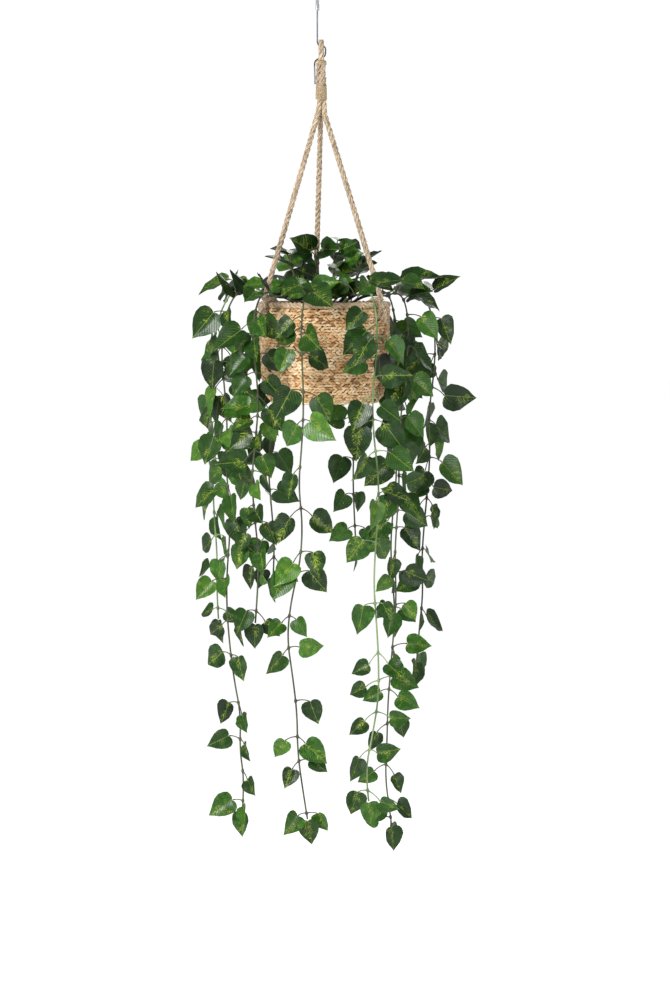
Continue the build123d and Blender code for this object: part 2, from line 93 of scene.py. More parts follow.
class Level:
    """A varying value in a node plan. Sums written on it add Math nodes."""

    def __init__(self, plan, socket):
        self.plan = plan
        self.socket = socket

    def maths(self, operation, *values):
        return self.plan.node("ShaderNodeMath", {"operation": operation}, dict(enumerate(values)))

    def __add__(self, other):
        return self.maths("ADD", self, other)

    def __sub__(self, other):
        return self.maths("SUBTRACT", self, other)

    def __rsub__(self, other):
        return self.maths("SUBTRACT", other, self)

    def __mul__(self, other):
        return self.maths("MULTIPLY", self, other)

    def __truediv__(self, other):
        return self.maths("DIVIDE", self, other)

    def __abs__(self):
        return self.maths("ABSOLUTE", self)

    __radd__ = __add__
    __rmul__ = __mul__

    def fraction(self):
        """What is left of the value after its whole number."""
        return self.maths("FRACT", self)

    def bounded(self):
        """The value kept between 0 and 1."""
        return self.maths("MAXIMUM", self.maths("MINIMUM", self, 1.0), 0.0)


class Plan:
    """A node tree being drawn up. node() adds one node: its settings first, then what its sockets take."""

    def __init__(self, tree):
        self.tree = tree

    def node(self, kind, settings=None, sockets=None, give=0):
        made = self.tree.nodes.new(kind)
        for key, value in (settings or {}).items():
            if key == "stops":
                self.set_stops(made.color_ramp, value)
            else:
                setattr(made, key, value)
        for key, value in (sockets or {}).items():
            self.feed(made.inputs[key], value)
        return Level(self, made.outputs[give])

    def set_stops(self, ramp, stops):
        while len(ramp.elements) < len(stops):
            ramp.elements.new(0.5)
        for element, (place, colour) in zip(ramp.elements, stops):
            element.position = place
            element.color = colour

    def feed(self, socket, value):
        if isinstance(value, Level):
            self.tree.links.new(value.socket, socket)
        else:
            socket.default_value = value

    def vectors(self, operation, *values):
        return self.node("ShaderNodeVectorMath", {"operation": operation}, dict(enumerate(values)))

    def scaled(self, way, by):
        return self.node("ShaderNodeVectorMath", {"operation": "SCALE"}, {0: way, "Scale": by})

    def xyz(self, x=0.0, y=0.0, z=0.0):
        return self.node("ShaderNodeCombineXYZ", None, {"X": x, "Y": y, "Z": z})

    def attribute(self, name, give="Fac"):
        return self.node("ShaderNodeAttribute", {"attribute_name": name}, give=give)


def grey(level):
    return (level, level, level, 1.0)


def paint(code):
    """A colour from its six hexadecimal digits, as a shader wants it."""
    shares = [int(code[i:i + 2], 16) / 255 for i in (0, 2, 4)]
    return (*[s / 12.92 if s < 0.04045 else ((s + 0.055) / 1.055) ** 2.4 for s in shares], 1.0)


class Finish(Plan):
    """A material being drawn up on its one Principled shader."""

    def __init__(self, name, roughness=0.5, **uniform):
        self.material = bpy.data.materials.new(name)
        self.material.use_nodes = True
        super().__init__(self.material.node_tree)
        self.skin = self.tree.nodes["Principled BSDF"]
        self.skin.inputs["Roughness"].default_value = roughness
        for key, value in uniform.items():
            self.skin.inputs[key.replace("_", " ").title()].default_value = value

    def set(self, socket, value):
        self.feed(self.skin.inputs[socket], value)

    def mix(self, share, low, high):
        return self.node("ShaderNodeMix", {"data_type": "RGBA"}, {0: share, 6: low, 7: high}, give=2)

    def multiply(self, colour, by):
        settings = {"data_type": "RGBA", "blend_type": "MULTIPLY"}
        return self.node("ShaderNodeMix", settings, {0: 1.0, 6: colour, 7: by}, give=2)

    def place(self):
        return self.node("ShaderNodeTexCoord", give="Object")

    def noise(self, where, scale, detail=3.0, distortion=0.0):
        sockets = {"Vector": where, "Scale": scale, "Detail": detail, "Distortion": distortion}
        return self.node("ShaderNodeTexNoise", None, sockets)

    def ramp(self, share, stops):
        """Colours, or greys given as numbers, along a value."""
        stops = [(at, grey(c) if isinstance(c, float) else c) for at, c in stops]
        return self.node("ShaderNodeValToRGB", {"stops": stops}, {0: share})

    def spot(self, value, low, high):
        """From 0 at low to 1 at high, smoothly."""
        settings = {"interpolation_type": "SMOOTHSTEP"}
        return self.node("ShaderNodeMapRange", settings, {0: value, 1: low, 2: high})

    def bump(self, height, distance, strength=1.0):
        sockets = {"Height": height, "Distance": distance, "Strength": strength}
        self.set("Normal", self.node("ShaderNodeBump", None, sockets))


def daylight_world():
    """White all round, which lights the object less than it shows."""
    world = bpy.data.worlds.new("daylight")
    world.use_nodes = True
    bpy.context.scene.world = world
    plan = Plan(world.node_tree)
    seen = plan.node("ShaderNodeLightPath", give="Is Camera Ray")
    shown = world.node_tree.nodes["Background"]
    shown.inputs["Color"].default_value = grey(1.0)
    plan.feed(shown.inputs["Strength"], seen * WORLD_SEEN + WORLD_LIGHT)


def floor():
    """A wide pale floor, which shows brighter than it lights and is clear from underneath."""
    mesh = bpy.data.meshes.new("floor")
    corners = [(x * FLOOR_HALF, y * FLOOR_HALF, FLOOR_Z) for x, y in ((-1, -1), (1, -1), (1, 1), (-1, 1))]
    mesh.from_pydata(corners, [], [(0, 1, 2, 3)])
    pale = Finish("pale_floor", roughness=0.9)
    speck = pale.noise(pale.place(), 30.0)
    pale.set("Base Color", pale.mix(speck, grey(0.93), grey(0.98)))
    seen = pale.node("ShaderNodeLightPath", give="Is Camera Ray")
    pale.set("Emission Color", pale.mix(seen, grey(0.3), grey(1.0)))
    pale.set("Emission Strength", FLOOR_GLOW)
    pale.set("Alpha", 1.0 - pale.node("ShaderNodeNewGeometry", give="Backfacing"))
    mesh.materials.append(pale.material)
    put("floor", mesh)


daylight_world()
floor()


# ---- Ceiling hook, wire eye and ferrule ----
# A zinc-plated steel screw hook is turned into the ceiling by its wood thread, and a bent wire eye hangs in
# it. The eye's two ends and the top of the hanging wire are crimped together in a soft aluminium ferrule.
SCREW_R = 0.0021
THREAD_TOP, THREAD_FOOT = 0.024, 0.003
THREAD_PITCH = 0.0022
THREAD_DEPTH = 0.0006
CRIMPS = 3


def zinc(name, tint, roughness):
    """Bare or plated metal, mottled, and brushed by handling."""
    metal = Finish(name, roughness=roughness, metallic=1.0)
    mottle = metal.noise(metal.place(), 420.0, 4.0)
    scuff = metal.noise(metal.place(), 2600.0, 2.0)
    metal.set("Base Color", metal.multiply(tint, metal.ramp(mottle, [(0.3, 0.62), (0.7, 1.0)])))
    metal.set("Roughness", roughness + 0.3 * (mottle - 0.5) + 0.12 * (scuff - 0.5))
    metal.bump(scuff, 0.00003)
    return metal.material


def finish_node(node, material):
    """Give a CAD piece its material."""
    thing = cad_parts[node]
    thing.data.materials.clear()
    thing.data.materials.append(material)


def solid(name, corners, faces, material, smooth=True):
    """A mesh object at the origin, with its normals made to point outwards."""
    mesh = bpy.data.meshes.new(name)
    mesh.from_pydata([tuple(c) for c in corners], [], faces)
    form = bmesh.new()
    form.from_mesh(mesh)
    bmesh.ops.remove_doubles(form, verts=form.verts, dist=1e-7)
    bmesh.ops.recalc_face_normals(form, faces=form.faces)
    form.to_mesh(mesh)
    form.free()
    mesh.polygons.foreach_set("use_smooth", [smooth] * len(mesh.polygons))
    mesh.materials.append(material)
    return put(name, mesh)


def skinned(rings, closed_ends=True):
    """Corners and faces of a surface through rings of equal numbers of points."""
    count = len(rings[0])
    corners = [point for ring in rings for point in ring]
    faces = []
    for level in range(len(rings) - 1):
        for i in range(count):
            a, b = level * count + i, level * count + (i + 1) % count
            faces.append((a, b, b + count, a + count))
    if closed_ends:
        faces.append(tuple(range(count)))
        faces.append(tuple(range(len(corners) - count, len(corners))))
    return corners, faces


def screw_thread():
    """A sharp ridge wound up the screw."""
    steps_a_turn = 20
    turns = (THREAD_TOP - THREAD_FOOT) / THREAD_PITCH
    half = THREAD_PITCH * 0.28
    rings = []
    for step in range(int(turns * steps_a_turn) + 1):
        angle, z = 2 * pi * step / steps_a_turn, THREAD_FOOT + THREAD_PITCH * step / steps_a_turn
        ring = []
        for out, up in ((-0.0003, -half), (THREAD_DEPTH, 0.0), (-0.0003, half)):
            reach = SCREW_R + out
            ring.append((reach * cos(angle), reach * sin(angle), z + up))
        rings.append(ring)
    return solid("hook_thread", *skinned(rings), hook_zinc, smooth=False)


def crimped_sleeve():
    """The flat ferrule, pressed in by the jaws of the crimping tool."""
    low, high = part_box("wire_ferrule")
    middle, half = (low + high) / 2, (high - low) / 2
    levels, count = 40, 28
    rings = []
    for level in range(levels + 1):
        share = level / levels
        pinch = 0.16 * max(0.0, -cos(2 * pi * CRIMPS * share)) ** 2
        edge = 0.12 * (abs(2 * share - 1) ** 10)
        ring = []
        for i in range(count):
            angle = 2 * pi * i / count
            x = abs(cos(angle)) ** 0.6 * (1 if cos(angle) > 0 else -1)
            y = abs(sin(angle)) ** 0.8 * (1 if sin(angle) > 0 else -1)
            ring.append((middle.x + half.x * x * (1 - edge + 0.3 * pinch),
                         middle.y + half.y * y * (1 - edge - pinch), low.z + 2 * half.z * share))
        rings.append(ring)
    return solid("crimped_ferrule", *skinned(rings), zinc("soft_aluminium", paint("c9ccd0"), 0.42))


hook_zinc = zinc("hook_zinc", paint("c4c8cc"), 0.34)
finish_node("ceiling_hook", hook_zinc)
finish_node("wire_eye", zinc("eye_wire", paint("969ba0"), 0.4))
thread = screw_thread()
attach(thread, "ceiling")
ferrule = crimped_sleeve()
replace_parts(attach(ferrule, "eye"), "wire_ferrule")


# ---- Hanging wire ----
# One springy galvanised wire comes straight down from the ferrule, passes through the rope loop, turns round
# behind it and is left as a short tail down the left of the neck.
WIRE_D = 0.0022
WIRE_ROUTE = [
    (0, 0, -0.083), (0, 0, -0.1182), (0, 0, -0.1314), (0.0114, 0.0002, -0.1314), (0.0117, 0.0025, -0.142),
    (0.0094, 0.0128, -0.1465), (-0.0007, 0.0126, -0.149), (-0.0042, 0.002, -0.154),
    (-0.0036, -0.0012, -0.168), (-0.0034, -0.0016, -0.1845)]


def route_line(name, points, bevel=0.0):
    """The smooth line of a cord through its route, a NURBS spline of order 3, bare or as a round bar."""
    data = bpy.data.curves.new(name, "CURVE")
    data.dimensions = "3D"
    spline = data.splines.new("NURBS")
    spline.points.add(len(points) - 1)
    for point, place in zip(spline.points, points):
        point.co = (*place, 1.0)
    spline.order_u = 3
    spline.use_endpoint_u = True
    data.resolution_u = 10
    data.bevel_depth = bevel
    data.bevel_resolution = 2
    data.use_fill_caps = True
    return put(name, data)


wire = route_line("hanging_wire_bent", WIRE_ROUTE, WIRE_D / 2)
wire.data.materials.append(zinc("galvanised_wire", paint("7e858c"), 0.45))
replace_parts(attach(wire, "hanger"), "hanging_wire")


# ---- Rope hanger ----
# Three 8 mm ropes of hairy jute yarn, each laid up of three strands, run from the neck down to the basket.
# At the top one rope is doubled back as a loop, and thin twine is wound round all of them to bind the neck.
STRAND_R, LAY_R = 0.00198, 0.00208
ROPE_TURN = 0.027
NECK_X = 0.0054
NECK_TOP, NECK_FOOT = -0.1512, -0.224
NECK_SPREAD = 0.0052
BOUND_SPREAD = 0.0034
NECK_TWIST = radians(115)
AXIS_X, RIM_Z = 0.0098, -0.490
ROPES = {"left": (-58, 0.274), "right": (53, 0.276), "back": (-172, 0.275)}
LOOP_ROUTE = [(NECK_X, y, z) for y, z in [
    (-0.0042, -0.1512), (-0.0073, -0.1405), (-0.007, -0.126), (0.007, -0.126), (0.0073, -0.1405),
    (0.0042, -0.1512)]]
KNOT_OUT, KNOT_DROP = 0.1015, 0.001
JUTE_HAIR_DENSITY = 60000.0
TWINE_PITCH = 0.00125
# top and foot of each winding, and its radius at the top and at the foot
BINDINGS = [(-0.1865, -0.2055, 0.0072, 0.0074), (-0.1520, -0.1575, 0.0064, 0.0070)]


def polar(azimuth, outwards, sideways, height):
    """A place round the basket's upright axis, at a height above its rim."""
    a = radians(azimuth)
    x = AXIS_X + outwards * sin(a) + sideways * cos(a)
    return Vector((x, -outwards * cos(a) + sideways * sin(a), RIM_Z + height))


def rope_route(azimuth):
    a = radians(azimuth)
    start = Vector((NECK_X + NECK_SPREAD * sin(a), -NECK_SPREAD * cos(a), NECK_FOOT))
    return [start, polar(azimuth, 0.0845, 0, 0.046), polar(azimuth, 0.0985, 0, 0.0072)]


def places_on(line):
    """Points close together along a route's spline; the bare line itself is then removed."""
    bpy.context.view_layer.update()
    seen = line.evaluated_get(bpy.context.evaluated_depsgraph_get())
    mesh = bpy.data.meshes.new_from_object(seen)
    found = [corner.co.copy() for corner in mesh.vertices]
    bpy.data.meshes.remove(mesh)
    bpy.data.objects.remove(line)
    return found


def threads(name, lines, closed=False):
    """A mesh of bare edges along lists of places. A place may carry a thickness as a fourth number."""
    corners, edges, sizes = [], [], []
    for line in lines:
        start = len(corners)
        for place in line:
            corners.append(tuple(place)[:3])
            sizes.append(place[3] if len(place) > 3 else 1.0)
        edges += [(i, i + 1) for i in range(start, len(corners) - 1)]
        if closed:
            edges.append((len(corners) - 1, start))
    mesh = bpy.data.meshes.new(name)
    mesh.from_pydata(corners, edges, [])
    mesh.attributes.new("thick", "FLOAT", "POINT").data.foreach_set("value", sizes)
    return put(name, mesh)


class Pattern(Plan):
    """A Geometry Nodes tree with named inputs, ended by Realize Instances and Set Material."""

    KINDS = {float: "NodeSocketFloat", int: "NodeSocketInt", bpy.types.Material: "NodeSocketMaterial",
             bpy.types.Collection: "NodeSocketCollection"}

    def __init__(self, name, inputs):
        super().__init__(bpy.data.node_groups.new(name, "GeometryNodeTree"))
        self.tree.interface.new_socket("Geometry", in_out="INPUT", socket_type="NodeSocketGeometry")
        self.tree.interface.new_socket("Geometry", in_out="OUTPUT", socket_type="NodeSocketGeometry")
        for label, kind in inputs.items():
            self.tree.interface.new_socket(label, in_out="INPUT", socket_type=self.KINDS[kind])
        self.source = self.tree.nodes.new("NodeGroupInput")

    def given(self, label):
        return Level(self, self.source.outputs[label])

    def end(self, geometry):
        real = self.node("GeometryNodeRealizeInstances", None, {0: geometry})
        smooth = self.node("GeometryNodeSetShadeSmooth", None, {0: real})
        dressed = self.node("GeometryNodeSetMaterial", None, {0: smooth, "Material": self.given("Material")})
        result = self.tree.nodes.new("NodeGroupOutput")
        self.feed(result.inputs[0], dressed)

    def grow(self, thing, sizes):
        """Run the tree on an object with these inputs, and leave the object with the plain mesh it makes."""
        modifier = thing.modifiers.new("pattern", "NODES")
        modifier.node_group = self.tree
        for item in self.tree.interface.items_tree:
            if item.in_out == "INPUT" and item.name in sizes:
                modifier[item.identifier] = sizes[item.name]
        depsgraph = bpy.context.evaluated_depsgraph_get()
        seen = thing.evaluated_get(depsgraph)
        mesh = bpy.data.meshes.new_from_object(seen, preserve_all_data_layers=True, depsgraph=depsgraph)
        thing.modifiers.remove(modifier)
        thing.data = mesh
        return thing


def laid_rope_pattern():
    """Strands wound round each line of a mesh of edges."""
    p = Pattern("laid_rope", {
        "Strands": int, "Strand Radius": float, "Lay Radius": float, "Turn Length": float, "Step": float,
        "Material": bpy.types.Material})
    line = p.node("GeometryNodeMeshToCurve", None, {0: p.given("Geometry")})
    even = p.node("GeometryNodeResampleCurve", {"mode": "LENGTH"}, {0: line, "Length": p.given("Step")})
    copies = p.tree.nodes.new("GeometryNodeDuplicateElements")
    copies.domain = "SPLINE"
    p.feed(copies.inputs[0], even)
    p.feed(copies.inputs["Amount"], p.given("Strands"))
    run = p.node("GeometryNodeSplineParameter", give="Length")
    turns = run / p.given("Turn Length") + Level(p, copies.outputs[1]) / p.given("Strands")
    angle = turns * (2 * pi)
    normal, tangent = p.node("GeometryNodeInputNormal"), p.node("GeometryNodeInputTangent")
    side = p.vectors("CROSS_PRODUCT", tangent, normal)
    reach = p.given("Lay Radius")
    out = p.scaled(normal, angle.maths("COSINE", angle) * reach)
    over = p.scaled(side, angle.maths("SINE", angle) * reach)
    offset = p.vectors("ADD", out, over)
    wound = p.node("GeometryNodeSetPosition", None, {0: Level(p, copies.outputs[0]), "Offset": offset})
    marked = p.node("GeometryNodeStoreNamedAttribute", {"data_type": "FLOAT"},
                    {0: wound, "Name": "run", "Value": run + Level(p, copies.outputs[1]) * 0.37})
    lumps = p.node("ShaderNodeTexNoise", {"noise_dimensions": "1D"}, {"W": run * 160.0, "Detail": 2.0})
    ring = p.node("GeometryNodeCurvePrimitiveCircle", None,
                  {"Resolution": 8, "Radius": p.given("Strand Radius")})
    round_way = p.vectors("NORMALIZE", p.node("GeometryNodeInputPosition"))
    profile = p.node("GeometryNodeStoreNamedAttribute", {"data_type": "FLOAT_VECTOR"},
                     {0: ring, "Name": "round", "Value": round_way})
    p.end(p.node("GeometryNodeCurveToMesh", None,
                 {0: marked, 1: profile, "Scale": lumps * 0.24 + 0.88, "Fill Caps": True}))
    return p


def loose_hairs_pattern():
    """Hairs of many lengths that stand off a surface at all angles."""
    p = Pattern("loose_hairs", {"Density": float, "Length": float, "Seed": int, "Hair": bpy.types.Collection,
                                "Material": bpy.types.Material})
    spots = p.tree.nodes.new("GeometryNodeDistributePointsOnFaces")
    for socket, value in (("Mesh", "Geometry"), ("Density", "Density"), ("Seed", "Seed")):
        p.feed(spots.inputs[socket], p.given(value))
    swing = p.node("FunctionNodeRandomValue", {"data_type": "FLOAT_VECTOR"},
                   {0: (-1.2, -1.2, -3.1), 1: (1.2, 1.2, 3.1), "Seed": p.given("Seed")})
    tilted = p.node("FunctionNodeRotateRotation", {"rotation_space": "LOCAL"},
                    {0: Level(p, spots.outputs["Rotation"]),
                     1: p.node("FunctionNodeEulerToRotation", None, {0: swing})})
    length = p.node("FunctionNodeRandomValue", {"data_type": "FLOAT"}, {2: 0.35, 3: 1.0, "Seed": 7}, give=1)
    hair = p.node("GeometryNodeCollectionInfo", None, {0: p.given("Hair")})
    p.end(p.node("GeometryNodeInstanceOnPoints", None,
                 {"Points": Level(p, spots.outputs["Points"]), "Instance": hair, "Rotation": tilted,
                  "Scale": length * p.given("Length")}))
    return p


def shelf(name, things):
    """A collection of shapes for a pattern to repeat, which isn't part of the scene."""
    kept = bpy.data.collections.new(name)
    for thing in things:
        bpy.context.scene.collection.objects.unlink(thing)
        kept.objects.link(thing)
    return kept


def jute(name, dark, light):
    """Dry plant fibre: streaks along each strand, darker where the strands press together."""
    p = Finish(name, roughness=0.88, sheen_weight=0.25)
    along = p.xyz(z=p.attribute("run") * 95.0)
    where = p.vectors("ADD", p.scaled(p.attribute("round", give="Vector"), 2.6), along)
    fibre = p.noise(where, 1.6, 4.0, 0.6)
    patch = p.noise(p.place(), 60.0, 2.0)
    colour = p.mix(p.spot(fibre, 0.36, 0.6), dark, light)
    p.set("Base Color", p.multiply(colour, p.ramp(patch, [(0.3, 0.78), (0.7, 1.0)])))
    p.bump(fibre, 0.0005)
    return p.material


def hair():
    """One bent fibre a unit long, three-sided and pointed."""
    rings = []
    for share, bend, half in ((0.0, 0.0, 0.022), (0.5, 0.12, 0.018), (1.0, 0.42, 0.005)):
        ways = [2 * pi * i / 3 for i in range(3)]
        rings.append([(bend + half * cos(way), half * sin(way), share) for way in ways])
    return solid("hair", *skinned(rings), jute_rope)


def rope(name, lines, closed=False, strand_r=STRAND_R, lay_r=LAY_R, turn=ROPE_TURN, strands=3, step=0.0022,
         hairs=JUTE_HAIR_DENSITY, hair_length=0.0055, material=None, seed=1):
    """A laid rope along each of some lines, as one mesh. Its loose hairs are put by to be joined later."""
    dressed = material or jute_rope
    body = laid_rope.grow(threads(name, lines, closed), {
        "Strands": strands, "Strand Radius": strand_r, "Lay Radius": lay_r, "Turn Length": turn, "Step": step,
        "Material": dressed})
    fuzz_pieces.append(loose_hairs.grow(put(f"{name}_hairs", body.data.copy()), {
        "Density": hairs, "Length": hair_length, "Seed": seed, "Hair": hair_shelf, "Material": dressed}))
    return body


def neck_lines():
    """The three ropes twisted together inside the binding, drawn in at the top where they end."""
    lines = []
    levels = 18
    for azimuth, _ in ROPES.values():
        line = []
        for level in range(levels + 1):
            share = level / levels
            angle = radians(azimuth) + NECK_TWIST * share
            drawn_in = min(1.0, share / 0.2) ** 2 * (1 - 0.2 * max(0.0, sin(pi * (share - 0.5) / 0.45)))
            spread = NECK_SPREAD + (BOUND_SPREAD - NECK_SPREAD) * drawn_in
            height = NECK_FOOT + (NECK_TOP - 0.001 - NECK_FOOT) * share
            line.append(Vector((NECK_X + spread * sin(angle), -spread * cos(angle), height)))
        lines.append(line)
    return lines


def winding(top, foot, radius_top, radius_foot):
    """A line of twine wound round the neck."""
    steps_a_turn = 28
    steps = int((top - foot) / TWINE_PITCH * steps_a_turn)
    line = []
    for step in range(steps + 1):
        angle, share = 2 * pi * step / steps_a_turn, step / steps
        reach = radius_top + (radius_foot - radius_top) * share
        line.append(Vector((NECK_X + reach * cos(angle), reach * sin(angle), top + (foot - top) * share)))
    return line


jute_rope = jute("jute_rope", paint("735238"), paint("ead6b6"))
jute_twine = jute("jute_twine", paint("99744c"), paint("f0dbb0"))
laid_rope = laid_rope_pattern()
loose_hairs = loose_hairs_pattern()
fuzz_pieces = []
hair_shelf = shelf("hair_shelf", [hair()])

loop_places = places_on(route_line("loop_line", LOOP_ROUTE))
loop = rope("top_loop", [loop_places], seed=3)
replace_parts(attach(loop, "hanger"), "rope_loop")
for number, (side, (azimuth, length)) in enumerate(ROPES.items()):
    rope_places = places_on(route_line(f"{side}_line", rope_route(azimuth)))
    hanging_rope = rope(f"{side}_rope", [rope_places], seed=4 + number)
    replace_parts(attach(hanging_rope, "hanger"), f"rope_{side}")

neck = rope("neck_ropes", neck_lines(), seed=9)
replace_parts(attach(neck, "hanger"), "neck_whipping")
binding = rope("neck_binding", [winding(*sizes) for sizes in BINDINGS], strand_r=0.00042, lay_r=0.00034,
               turn=0.004, strands=2, step=0.0014, hairs=15000.0, hair_length=0.004, material=jute_twine,
               seed=10)
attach(binding, "hanger")


# ---- Knots and rim loops ----
# Each rope's end goes in through the basket's wall, comes back over the rim and is tied to its own rope
# outside the rim in a tight overhand knot, which leaves a short frayed tail.
RIM_R = 0.088
RIM_LOOP_R = 0.0126
RIM_LOOP_LIFT = 0.004
KNOT_UNIT = 0.00185
TAIL_LENGTH = 0.019


def knot_line(azimuth):
    """A closed overhand knot, flat against the basket."""
    centre = polar(azimuth, KNOT_OUT, 0, -KNOT_DROP)
    a = radians(azimuth)
    out, side = Vector((sin(a), -cos(a), 0)), Vector((cos(a), sin(a), 0))
    line, steps = [], 60
    for step in range(steps):
        t = 2 * pi * step / steps
        across, up = sin(t) + 2 * sin(2 * t), cos(t) - 2 * cos(2 * t)
        depth = -sin(3 * t) * 1.25
        line.append(centre + (side * across + Vector((0, 0, up)) + out * depth) * KNOT_UNIT)
    return line


def tail_line(azimuth, chance):
    """The rope's short end, hanging out of the knot."""
    lean = chance.uniform(-0.004, 0.004)
    points = [(0.104, 0, -0.004), (0.107, lean * 0.4, -0.011), (0.1065, lean, -0.004 - TAIL_LENGTH)]
    return places_on(route_line("tail_line", [polar(azimuth, *point) for point in points]))


def ring_line(centre, along, across, radius, count):
    return [centre + (along * cos(2 * pi * i / count) + across * sin(2 * pi * i / count)) * radius
            for i in range(count)]


def joined(name, things):
    """Several meshes made into one piece."""
    with bpy.context.temp_override(active_object=things[0], selected_editable_objects=things):
        bpy.ops.object.join()
    things[0].name = name
    return things[0]


for number, (side, (azimuth, _)) in enumerate(ROPES.items()):
    chance = Random(20 + number)
    ball = rope("ball", [knot_line(azimuth)], closed=True, strand_r=0.00150, lay_r=0.00145, turn=0.016,
                step=0.0016, seed=30 + number)
    tail = rope("tail", [tail_line(azimuth, chance)], strand_r=0.0016, lay_r=0.00155, turn=0.02, step=0.0016,
                hairs=90000.0, hair_length=0.009, seed=40 + number)
    knot = joined(f"{side}_knot", [ball, tail])
    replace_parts(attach(knot, "hanger"), f"rope_knot_{side}")
    a = radians(azimuth)
    centre = polar(azimuth, RIM_R, 0, -RIM_LOOP_LIFT)
    ring = ring_line(centre, Vector((sin(a), -cos(a), 0)), Vector((0, 0, 1)), RIM_LOOP_R, 48)
    rim_rope = rope(f"{side}_rim_rope", [ring], closed=True, strand_r=0.0019, lay_r=0.0018, seed=50 + number)
    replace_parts(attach(rim_rope, "hanger"), f"rim_loop_{side}")

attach(joined("rope_hairs", fuzz_pieces), "hanger")


# ---- Basket ----
# Rows of twisted seagrass cord are sewn one on another round a former, so the wall is a stack of short
# slanted twists, straw-coloured with tan and brown ones among them. The rim is a thicker laid cord, and
# the bottom is the same cord as the wall, coiled flat.
WALL_PROFILE = [(0.0915, -0.0046), (0.091, -0.052), (0.088, -0.102), (0.083, -0.124), (0.074, -0.136)]
WALL_T = 0.007
ROW_RISE = 0.0039
TWIST_LENGTH, TWIST_W = 0.0084, 0.0038
TWIST_SPACING = 0.0058
TWIST_SLANT = radians(21)
WALL_SLOPE, CORNER_SLOPE = radians(4), radians(34)
CORNER_DROP = 0.12
INSIDE_ROWS_DROP = 0.040
ROPE_HOLE_DROP, ROPE_HOLE_CLEAR = 0.017, 0.0062
SEAGRASS = [(0.0, paint("7a5230")), (0.2, paint("b98a58")), (0.42, paint("dbb283")), (0.68, paint("eccfa6")),
            (1.0, paint("fbeed6"))]


def seagrass(name, shade=1.0):
    """Dried twisted grass: each twist has its own tone, with fine streaks and browner patches on the wall."""
    p = Finish(name, roughness=0.62)
    streak = p.noise(p.place(), 900.0, 4.0, 1.5)
    patch = p.noise(p.place(), 16.0, 3.0)
    level = (p.attribute("tone") + (streak - 0.5) * 0.55 + (patch - 0.5) * 0.25).bounded()
    colour = p.ramp(level, SEAGRASS)
    colour = p.multiply(colour, p.ramp(p.noise(p.place(), 380.0, 2.0), [(0.3, 0.42), (0.4, 1.0)]))
    # a shade below 1 darkens the whole colour: a painted shadow
    p.set("Base Color", p.multiply(colour, (shade * 1.08, shade * 1.03, shade * 0.93, 1.0)))
    p.set("Roughness", 0.5 + streak * 0.3)
    p.bump(streak, 0.0006)
    return p.material


def twists():
    """Three plump slanted twists, each pointed at both ends, a unit long."""
    made = []
    for number, (plump, bow) in enumerate(((1.0, 0.03), (0.86, -0.03), (1.1, 0.0))):
        rings = []
        for at, share in ((-0.5, 0.22), (-0.28, 0.86), (0.0, 1.0), (0.28, 0.86), (0.5, 0.22)):
            half, lift = 0.5 * share * plump, bow * (1 - 4 * at * at)
            rings.append([(at, half * cos(pi * i / 3) * TWIST_W / TWIST_LENGTH + lift,
                           half * sin(pi * i / 3) * TWIST_W / TWIST_LENGTH) for i in range(6)])
        made.append(solid(f"twist_{number}", *skinned(rings), straw))
    return made


def scatter_pattern():
    """One of some shapes on each place of a mesh, turned, sized and toned as the place says."""
    p = Pattern("set_out_shapes", {"Shapes": bpy.types.Collection, "Size": float,
                                   "Material": bpy.types.Material})
    read = {}
    for name, kind in (("turn", "FLOAT_VECTOR"), ("size", "FLOAT"), ("kind", "INT")):
        read[name] = p.node("GeometryNodeInputNamedAttribute", {"data_type": kind}, {"Name": name})
    shapes = p.node("GeometryNodeCollectionInfo", None,
                    {0: p.given("Shapes"), "Separate Children": True, "Reset Children": True})
    placed = p.node("GeometryNodeInstanceOnPoints", None, {
        "Points": p.given("Geometry"), "Instance": shapes, "Pick Instance": True,
        "Instance Index": read["kind"], "Scale": read["size"] * p.given("Size"),
        "Rotation": p.node("FunctionNodeEulerToRotation", None, {0: read["turn"]})})
    p.end(placed)
    return p


class Layout:
    """Places to repeat a shape at, each with its turn, size, kind and tone."""

    def __init__(self):
        self.places, self.turns, self.sizes, self.kinds, self.tones = [], [], [], [], []

    def add(self, place, along, facing, size=1.0, kind=0, tone=0.5):
        across = facing.cross(along).normalized()
        along = along.normalized()
        self.places.append(tuple(place))
        self.turns += Matrix((along, across, along.cross(across))).transposed().to_euler()
        self.sizes.append(size)
        self.kinds.append(kind)
        self.tones.append(tone)

    def make(self, name, shapes, material, size=1.0):
        mesh = bpy.data.meshes.new(name)
        mesh.from_pydata(self.places, [], [])
        for label, kind, field, values in (
                ("turn", "FLOAT_VECTOR", "vector", self.turns), ("size", "FLOAT", "value", self.sizes),
                ("kind", "INT", "value", self.kinds), ("tone", "FLOAT", "value", self.tones)):
            mesh.attributes.new(label, kind, "POINT").data.foreach_set(field, values)
        return scatter.grow(put(name, mesh), {"Shapes": shapes, "Size": size, "Material": material})


def wall_at(share):
    """Radius and height of the wall's outside at a share of the way down it."""
    lengths = [Vector(b) - Vector(a) for a, b in zip(WALL_PROFILE, WALL_PROFILE[1:])]
    left = share * sum(step.length for step in lengths)
    for start, step in zip(WALL_PROFILE, lengths):
        if left <= step.length + 1e-9:
            found = Vector(start) + step * (left / step.length)
            return found.x, found.y
        left -= step.length
    return WALL_PROFILE[-1]


